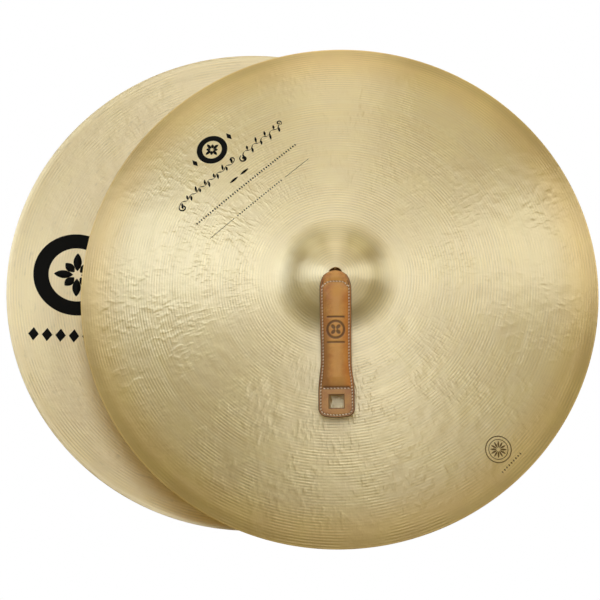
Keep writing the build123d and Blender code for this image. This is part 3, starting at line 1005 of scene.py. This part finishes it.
def sheet_grid():
    """Across, along, depth and border distance for every point of a strap layer."""
    rows, shares = sheet_rows(), sheet_columns()
    s = np.repeat(rows[:, None], len(shares), axis=1)
    width = outline_half(rows)[:, None] * np.ones_like(shares)
    x = shares * width
    bulge = TAB_BULGE * (1 - np.clip(np.abs(x) / CORNER_SIDE, 0, 1) ** 2)
    depth = depth_at(s) + bulge * smooth(STRAP_LENGTH - 10, STRAP_LENGTH - TAB_BULGE, depth_at(s))
    x, depth = round_eye(x, depth)
    hanging = s > BEND_LENGTH
    s = np.where(hanging, along_at(depth), s)
    inward = from_border(x, depth, width)
    inward = np.where(hanging & (depth > SHOULDER_DEPTH), inward, width - np.abs(x))
    hole_x = EYE_WIDTH / 2 - np.abs(x)
    hole_y = EYE_HEIGHT / 2 - np.abs(depth - EYE_DEPTH)
    from_eye = -np.minimum(hole_x, hole_y)
    inward = np.clip(inward, 0, None)
    return {"x": x, "s": s, "depth": depth, "inward": inward, "width": width, "eye": from_eye}


def edge_fall(inward):
    """How far a sheet's face falls as it nears a rounded edge."""
    into = np.clip(1 - inward / EDGE_ROUNDING, 0, 1)
    return EDGE_ROUNDING * (1 - np.sqrt(1 - into**2))


def sheet_piece(name, side, grid, low, high, material, layers):
    """A closed leather layer between two heights over the strap's middle, with its eye cut out."""
    rows, columns = grid["x"].shape
    fall = edge_fall(np.minimum(grid["inward"], np.maximum(grid["eye"], 0)))
    fall[0] = 0
    top = strap_point(grid["x"], grid["s"], high - fall).reshape(-1, 3)
    bottom = strap_point(grid["x"], grid["s"], low + fall).reshape(-1, 3)
    count = rows * columns
    faces = grid_faces(rows, columns)
    inside_eye = (grid["eye"].ravel()[faces] < 1e-6).all(axis=1)
    faces = faces[~inside_eye]
    edges = np.concatenate([faces[:, [i, (i + 1) % 4]] for i in range(4)])
    keys = {tuple(e) for e in edges.tolist()}
    border = np.array([e for e in edges.tolist() if (e[1], e[0]) not in keys])
    walls = np.stack([border[:, 1], border[:, 0], border[:, 0] + count, border[:, 1] + count], axis=1)
    faces = np.concatenate([faces, faces[:, ::-1] + count, walls])
    points = np.concatenate([top, bottom])
    used = np.unique(faces)
    fresh = np.full(len(points), -1)
    fresh[used] = np.arange(len(used))
    doubled = {key: np.concatenate([v.ravel(), v.ravel()])[used] for key, v in layers.items()}
    return make_piece(name, side, points[used], fresh[faces], material, doubled)


def leather_layers(grid, pressed):
    """Wear and painted light on a strap layer: burnished edges, pressed seams, a painted highlight on the
    padded crown, painted shade on the padding's left flank and low end, and painted warm light on its right
    flank.
    """
    inward = np.minimum(grid["inward"], np.maximum(grid["eye"], 0))
    burnish = 0.9 * smooth(0.95, 0.1, inward) + 0.30 * smooth(3.4, 1.6, grid["inward"])
    across, depth = grid["x"] / grid["width"], grid["depth"]
    # painted highlight: the padding's crown is lighter where it rises towards the light
    crown_highlight = 0.8 * smooth(0.62, 0.1, np.abs(across - 0.08))
    padded = smooth(PAD_TOP, PAD_TOP + 12, depth) * smooth(PAD_BOTTOM + 2, PAD_BOTTOM - 2, depth)
    # painted shade on the padding's left flank, and at its low end where it slopes down to the crease
    shaded_side = smooth(-0.25, -0.65, across) * padded * (0.5 + 0.4 * smooth(45, 75, depth))
    low_end = 0.5 * smooth(PAD_BOTTOM - 14, PAD_BOTTOM, depth) * padded
    # painted warm light on the padding's right flank
    lit_side = 0.75 * smooth(0.30, 0.72, across) * padded
    return {
        "burnish": np.clip(burnish, 0, 1),
        "pressed": pressed,
        "crown_highlight": crown_highlight,
        "painted_shade": np.clip(shaded_side + low_end, 0, 1),
        "painted_warm_light": lit_side,
        "greyed": 0.5 * smooth(PAD_BOTTOM, PAD_BOTTOM + 3, depth),
    }


def bend_over_hole(piece):
    """Bakes a strap layer's placement into its points."""
    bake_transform(piece)


COVER_SEAM_SINK = 0.38
LINING_SEAM_SINK = 0.25
STAMP_SINK = 0.55
CREASE_SINK = 0.6
GATHER_RISE = 1.1  # of the leather that is squeezed together over the hole's edge
RIPPLE = 0.045


def make_cover(side, grid):
    """The upper leather, stretched over the padding, stamped, and drawn in by its seams."""
    x, depth = grid["x"], grid["depth"]
    hanging = smooth(PAD_TOP - 3, PAD_TOP - 1, depth)
    lift = pad_lift(x, depth, grid["width"]) * hanging
    channel = seam_channel(x, depth, grid["inward"]) * (depth > 4)
    stamp = emboss(x, depth)
    crease = ridge(depth - (PAD_BOTTOM + 0.4), 0.9) * smooth(3.4, 5.5, grid["inward"])
    rng = np.random.default_rng(2)
    waves = rng.uniform(0, 2 * math.pi, 6)
    ripple = sum(
        np.sin(x * (0.25 + 0.13 * i) + depth * (0.11 + 0.07 * i) + waves[i]) for i in range(6)
    )
    share = np.clip(np.abs(x) / grid["width"], 0, 1)
    over_bend = smooth(-4, 0, grid["s"]) * smooth(BEND_LENGTH + 6, BEND_LENGTH, grid["s"])
    gathered = GATHER_RISE * (1 - share**2) * over_bend
    high = LEATHER + lift + gathered + RIPPLE * ripple * hanging
    high -= COVER_SEAM_SINK * channel + STAMP_SINK * stamp + CREASE_SINK * crease
    # pressed: the seams and the stamp are darker where pressed, and the crease above the cross seam gets
    # painted shade
    layers = leather_layers(grid, np.clip(0.8 * channel + 0.95 * stamp + 0.9 * crease, 0, 1))
    name = f"{side}_strap_leather_cover"
    piece = sheet_piece(name, side, grid, lift + 0.02, high, COVER_LEATHER, layers)
    settle(piece, side, "leather_cover", None, "strap_cover", "strap_neck")
    bend_over_hole(piece)


def make_lining(side, grid):
    """The under leather, flat, with its own seam channel."""
    channel = seam_channel(grid["x"], grid["depth"], grid["inward"]) * (grid["depth"] > 4)
    layers = leather_layers(grid, np.clip(0.5 * channel, 0, 1))
    low = -LEATHER + LINING_SEAM_SINK * channel
    high = np.full_like(low, -0.02)
    piece = sheet_piece(f"{side}_strap_leather_lining", side, grid, low, high, LINING_LEATHER, layers)
    settle(piece, side, "leather_lining", None, "strap_lining", "strap_neck")
    bend_over_hole(piece)


def make_pad(side):
    """The felt filling, a crowned lens under the cover."""
    rows = along_at(spread([PAD_TOP, PAD_TOP + 4, PAD_BOTTOM - 4, PAD_BOTTOM - 0.4], 1.2))
    shares = np.sin(np.linspace(-math.pi / 2, math.pi / 2, 31))
    depth = depth_at(rows)[:, None] * np.ones_like(shares)
    width = outline_half(rows)[:, None] * np.ones_like(shares)
    x = shares * (width - PAD_INSET - 0.1)
    lift = pad_lift(x, depth, width)
    s = np.repeat(rows[:, None], len(shares), axis=1)
    top = strap_point(x, s, np.maximum(lift - 0.05, 0.06))
    bottom = strap_point(x, s, 0.0 * lift)
    piece = make_piece(f"{side}_strap_felt_pad", side, *between(top, bottom), FELT)
    settle(piece, side, "pad_felt", "strap", "strap_pad")


# --- Stitches -----------------------------------------------------------------------------------


def seam_path():
    """The perimeter seam as points (across, depth), one closed loop that starts at its top left."""
    depth = spread([TOP_SEAM_DEPTH + TOP_SEAM_DIP, SHOULDER_DEPTH, CORNER_START], 0.5)
    width = half_width(depth) - SEAM_INSET
    angle = np.radians(np.arange(0, 91, 5))
    radius = TAB_CORNER - SEAM_INSET
    corner_x = CORNER_SIDE + radius * np.cos(angle)
    corner_y = CORNER_START + radius * np.sin(angle)
    right = np.concatenate([np.stack([width, depth], axis=1), np.stack([corner_x, corner_y], axis=1)])
    bottom_x = np.linspace(CORNER_SIDE, 0, 10)[1:]
    flat = STRAP_LENGTH - SEAM_INSET - TAB_BULGE * (bottom_x / CORNER_SIDE) ** 2
    right = np.concatenate([right, np.stack([bottom_x, flat], axis=1)])
    left = right[-2::-1] * (-1, 1)
    across = np.linspace(-width[0], width[0], 24)[1:-1]
    top = np.stack([across, top_seam(across)], axis=1)
    loop = np.concatenate([right, left, top])
    return np.concatenate([loop, loop[:1]])


def cross_path():
    """The straight seam above the tab."""
    reach = float(half_width(BOTTOM_SEAM_DEPTH)) - SEAM_INSET - STITCH_PITCH * 0.6
    across = np.linspace(-reach, reach, 40)
    return np.stack([across, BOTTOM_SEAM_DEPTH + 0 * across], axis=1)


def evenly(path, pitch):
    """Places at an even pitch along a path, each with its direction."""
    lengths = np.append(0, np.cumsum(np.linalg.norm(np.diff(path, axis=0), axis=1)))
    count = int(lengths[-1] / pitch)
    at = (np.arange(count) + 0.5) * lengths[-1] / count
    centres, ahead, behind = (
        np.stack([np.interp(at + shift, lengths, path[:, i]) for i in range(2)], axis=1)
        for shift in (0.0, 0.3, -0.3)
    )
    direction = ahead - behind
    return centres, direction / np.linalg.norm(direction, axis=1, keepdims=True)


STITCH_LENGTH = 2.0
STITCH_TILT = 0.20  # how far each end of a stitch leans off the seam's line
THREAD_RADIUS = 0.56


def add_stitch(parts, centre, direction, base, outward):
    """One stitch: a thread that comes up out of one hole, lies over the leather and dives again."""
    segments, sides = 9, 8
    t = np.linspace(-1, 1, segments)
    rise = 0.30 * (1 - np.abs(t) ** 2.6) - 0.16
    across = np.array([-direction[1], direction[0]])
    line = centre + np.outer(t * STITCH_LENGTH / 2, direction) + np.outer(t * STITCH_TILT, across)
    swell = THREAD_RADIUS * (1 - 0.75 * np.abs(t) ** 6)
    angle = round_angles(sides)
    aside = np.outer(swell, np.cos(angle))
    lift = base + outward * (rise[:, None] + np.outer(swell, np.sin(angle)) + THREAD_RADIUS * 0.55)
    x = line[:, :1] + aside * across[0]
    depth = line[:, 1:] + aside * across[1]
    points = strap_point(x, along_at(depth), lift).reshape(-1, 3)
    body = grid_faces(segments, sides, wrap_columns=True)
    cap = np.array([[0, i, i + 1, i + 2] for i in range(1, sides - 1, 2)])
    far_cap = cap + (segments - 1) * sides
    parts.add(points, np.concatenate([body, cap[:, ::-1], far_cap]))


def make_stitches(side, name, node, path):
    """A seam's stitches on both faces of the strap."""
    parts = Parts()
    for centre, direction in zip(*evenly(path, STITCH_PITCH)):
        top = LEATHER + float(pad_lift(*centre, half_width(centre[1]))) - 0.30
        add_stitch(parts, centre, direction, top, 1)
        add_stitch(parts, centre, direction, -LEATHER + 0.23, -1)
    settle(parts.piece(f"{side}_{name}", side, THREAD), side, "thread", "strap", node)


# --- Fixing inside the bell ---------------------------------------------------------------------


def make_washer(side):
    """A pressed leather washer, following the bell's inside, with rounded, worn edges."""
    around = 96
    radii = spread([WASHER_BORE, WASHER_RADIUS], 0.6)
    inward = np.minimum(radii - WASHER_BORE, WASHER_RADIUS - radii)
    fall = edge_fall(inward)
    seat = inner_height(radii) - SEAT_GAP
    profile_r = np.concatenate([radii, radii[::-1]])
    profile_z = np.concatenate([seat - fall, (seat - WASHER_THICKNESS + fall)[::-1]])
    worn = np.concatenate([inward, inward[::-1]])
    angle = round_angles(around)
    wobble = 1 + 0.004 * np.sin(5 * angle) + 0.003 * np.sin(9 * angle + 2)
    outerness = smooth(WASHER_BORE + 3, WASHER_RADIUS, profile_r)[:, None]
    reach = profile_r[:, None] * (1 + (wobble - 1.007) * outerness)
    points = np.stack(
        [reach * np.cos(angle), reach * np.sin(angle), profile_z[:, None] + 0 * reach], axis=-1
    ).reshape(-1, 3)
    layers = {"burnish": np.repeat(smooth(1.6, 0.1, worn), around)}
    faces = grid_faces(len(profile_r), around, wrap_rows=True, wrap_columns=True)
    piece = make_piece(f"{side}_leather_washer", side, points, faces, WASHER_LEATHER, layers)
    settle(piece, side, "leather_washer", "knot", "knot_washer")


def tail_path():
    """One tail's run (along, drop below the knot's plane): under a neighbour, over the next, and out."""
    low = WEAVE_GAP / 2
    high = low + LEATHER + WEAVE_GAP
    edge = TAIL_GAP + TAIL_WIDTH + 1.0
    along = np.linspace(edge, -TAIL_REACH, 70)
    climb = smooth(TAIL_GAP, -TAIL_GAP, along)
    descend = smooth(-edge, -edge - 2.6, along)
    return along, low + (high - low) * (climb - descend)


def make_tails(side):
    """Four woven leather tails with cut, slightly rounded ends."""
    along, drop = tail_path()
    across = np.concatenate([[0, 0.08, 0.25, 0.55], np.linspace(1.0, TAIL_WIDTH - 1.0, 7)])
    across = np.concatenate([across, TAIL_WIDTH - np.array([0.55, 0.25, 0.08, 0])])
    a = np.repeat(along[:, None], len(across), axis=1)
    to_end = np.clip(a + TAIL_REACH, 0, None)
    taper = np.sqrt(np.clip(1 - (1 - np.clip(to_end / 2.2, 0, 1)) ** 2, 0, 1))
    middle = TAIL_GAP + TAIL_WIDTH / 2
    b = middle + (TAIL_GAP + across - middle) * (0.55 + 0.45 * taper)
    inward = np.minimum(np.minimum(across, TAIL_WIDTH - across), to_end)
    inward = np.minimum(inward, np.clip(along[0] - a, 0, None))
    fall, level = edge_fall(inward), KNOT_HEIGHT - drop[:, None]
    tails = Parts()
    for quarter in range(4):
        c, s = math.cos(quarter * math.pi / 2), math.sin(quarter * math.pi / 2)
        x, y = c * a - s * b, s * a + c * b
        top, bottom = (np.stack([x, y, z], axis=-1) for z in (level - fall, level - LEATHER + fall))
        tails.add(*between(top, bottom))
    layers = {"burnish": np.tile(smooth(1.0, 0.1, inward).ravel(), 2 * 4)}
    piece = tails.piece(f"{side}_woven_tails", side, TAIL_LEATHER, layers)
    settle(piece, side, "leather_tails", "knot", "knot_tails")


# --- Studio -------------------------------------------------------------------------------------

# in metres, unless said otherwise
FLOOR_DROP = 1.3  # below the lower rim: the pair is held up in the air
ROOM_LEVELS = (0.07, 0.12)  # how bright the room is below and above
ROOM_TINT = (1.0, 0.89, 0.60)
LAMP_DISTANCE = 2.4  # from the middle of the object
CAMERA_PLACE = Vector((0.0313, -1.2641, -0.3483))
CAMERA_AIM = Vector((-0.0380, 0.0, -0.0135))
CAMERA_LENS = 76.2  # focal length in millimetres


def make_floor():
    """A pale, wide floor, which the metal doesn't mirror."""
    bpy.ops.mesh.primitive_plane_add(size=60, location=(0, 0, cad_box[0].z - FLOOR_DROP))
    floor = bpy.context.object
    floor.name = "floor"
    n = Nodes(bpy.data.materials.new("floor"))
    place = n.node("ShaderNodeTexCoord").outputs["Object"]
    tint = n.blend(n.noise(place, 0.6, 3.0), (0.80, 0.80, 0.79), (0.84, 0.84, 0.83))
    # what the camera sees is as pale as the room, however little light reaches down to it
    seen = n.node("ShaderNodeEmission", {"Color": tint})
    to_camera = n.node("ShaderNodeLightPath").outputs["Is Camera Ray"]
    n.mix_in(seen.outputs[0], n.maths("MULTIPLY", to_camera, 0.9))
    floor.data.materials.append(n.finish(Base_Color=tint, Roughness=0.8))
    floor.visible_glossy = False


def make_world():
    """A pale room: white to the camera, and a soft vertical gradient to everything it lights."""
    world = bpy.data.worlds.new("studio")
    bpy.context.scene.world = world
    n = Nodes(world)
    _, _, up = n.split(n.node("ShaderNodeTexCoord").outputs["Generated"])
    share = n.node("ShaderNodeMapRange", {"Value": up, "From Min": -1.0, "From Max": 1.0}).outputs[0]
    glow = n.blend(share, *(tuple(level * part for part in ROOM_TINT) for level in ROOM_LEVELS))
    seen = n.node("ShaderNodeBackground", {"Color": (1, 1, 1, 1)})
    light = n.node("ShaderNodeBackground", {"Color": glow})
    to_camera = n.node("ShaderNodeLightPath").outputs["Is Camera Ray"]
    mix = n.node("ShaderNodeMixShader", {0: to_camera, 1: light.outputs[0], 2: seen.outputs[0]})
    n.feed(n.tree.nodes["World Output"].inputs["Surface"], mix.outputs[0])


def hold(name, data, at, backwards):
    """Puts a lamp or a camera in the scene, with its back turned to a direction."""
    holder = bpy.data.objects.new(name, data)
    bpy.context.scene.collection.objects.link(holder)
    holder.location = at
    holder.rotation_mode = "QUATERNION"
    holder.rotation_quaternion = backwards.to_track_quat("Z", "Y")
    return holder


def make_softbox(name, azimuth, elevation, size, power, tint):
    """A soft rectangular light that faces the object; azimuth 0 is on the viewer's side."""
    centre = (cad_box[0] + cad_box[1]) / 2
    a, e = math.radians(azimuth), math.radians(elevation)
    direction = Vector((math.sin(a) * math.cos(e), -math.cos(a) * math.cos(e), math.sin(e)))
    lamp = bpy.data.lights.new(name, "AREA")
    lamp.shape = "RECTANGLE"
    lamp.size, lamp.size_y = size
    lamp.energy = power
    lamp.color = tint
    hold(name, lamp, centre + direction * LAMP_DISTANCE, direction).visible_camera = False


def make_lights():
    """The same soft lights on the viewer's side and behind: azimuth, elevation, size, power and tint."""
    lamps = {
        "main": (4, 7, (0.85, 1.7), 8.9, (1.0, 1.0, 0.98)),
        "left": (-30, 20, (1.5, 0.85), 9.0, (0.92, 0.98, 1.0)),
        "right": (42, 20, (1.1, 0.85), 5.6, (1.0, 1.0, 0.95)),
        "far_right": (80, 20, (0.85, 0.85), 1.8, (1.0, 0.98, 0.30)),
        "top": (0, 68, (0.85, 2.0), 6.2, (1.0, 0.96, 0.84)),
        "high_left": (-60, 60, (0.85, 0.85), 3.8, (1.0, 0.99, 0.81)),
        "high_right": (60, 60, (0.85, 0.85), 3.0, (1.0, 0.95, 0.70)),
        "low_left": (-66, -12, (0.85, 0.85), 0.9, (0.93, 1.0, 0.71)),
        "low": (8, -22, (1.7, 0.85), 0.9, (1.0, 0.85, 0.45)),
        "low_right": (45, -15, (0.85, 0.85), 0.6, (1.0, 0.98, 0.60)),
        "side_left": (-84, -24, (0.85, 1.7), 2.0, (1.0, 0.97, 0.85)),
        "side_right": (84, -24, (0.85, 1.7), 2.0, (1.0, 0.97, 0.85)),
    }
    for place, turn in (("front", 0), ("back", 180)):
        for name, (azimuth, *others) in lamps.items():
            make_softbox(f"{place}_{name}", turn + azimuth, *others)


def make_camera():
    """Slightly right of the front disc and below it, looking up and a little to the left."""
    data = bpy.data.cameras.new("camera")
    data.sensor_width = 36
    data.lens = CAMERA_LENS
    bpy.context.scene.camera = hold("camera", data, CAMERA_PLACE, CAMERA_PLACE - CAMERA_AIM)


# --- Everything ---------------------------------------------------------------------------------

strap_grid = sheet_grid()
for side in SIDES:
    make_disc(side)
    make_cover(side, strap_grid)
    make_lining(side, strap_grid)
    make_pad(side)
    make_stitches(side, "edge_stitching", "strap_edge_stitches", seam_path())
    make_stitches(side, "cross_stitching", "strap_cross_stitches", cross_path())
    make_washer(side)
    make_tails(side)
make_front_print()
make_front_etching()
make_rear_print()
make_floor()
make_world()
make_lights()
make_camera()
bpy.context.scene.view_settings.view_transform = "Standard"
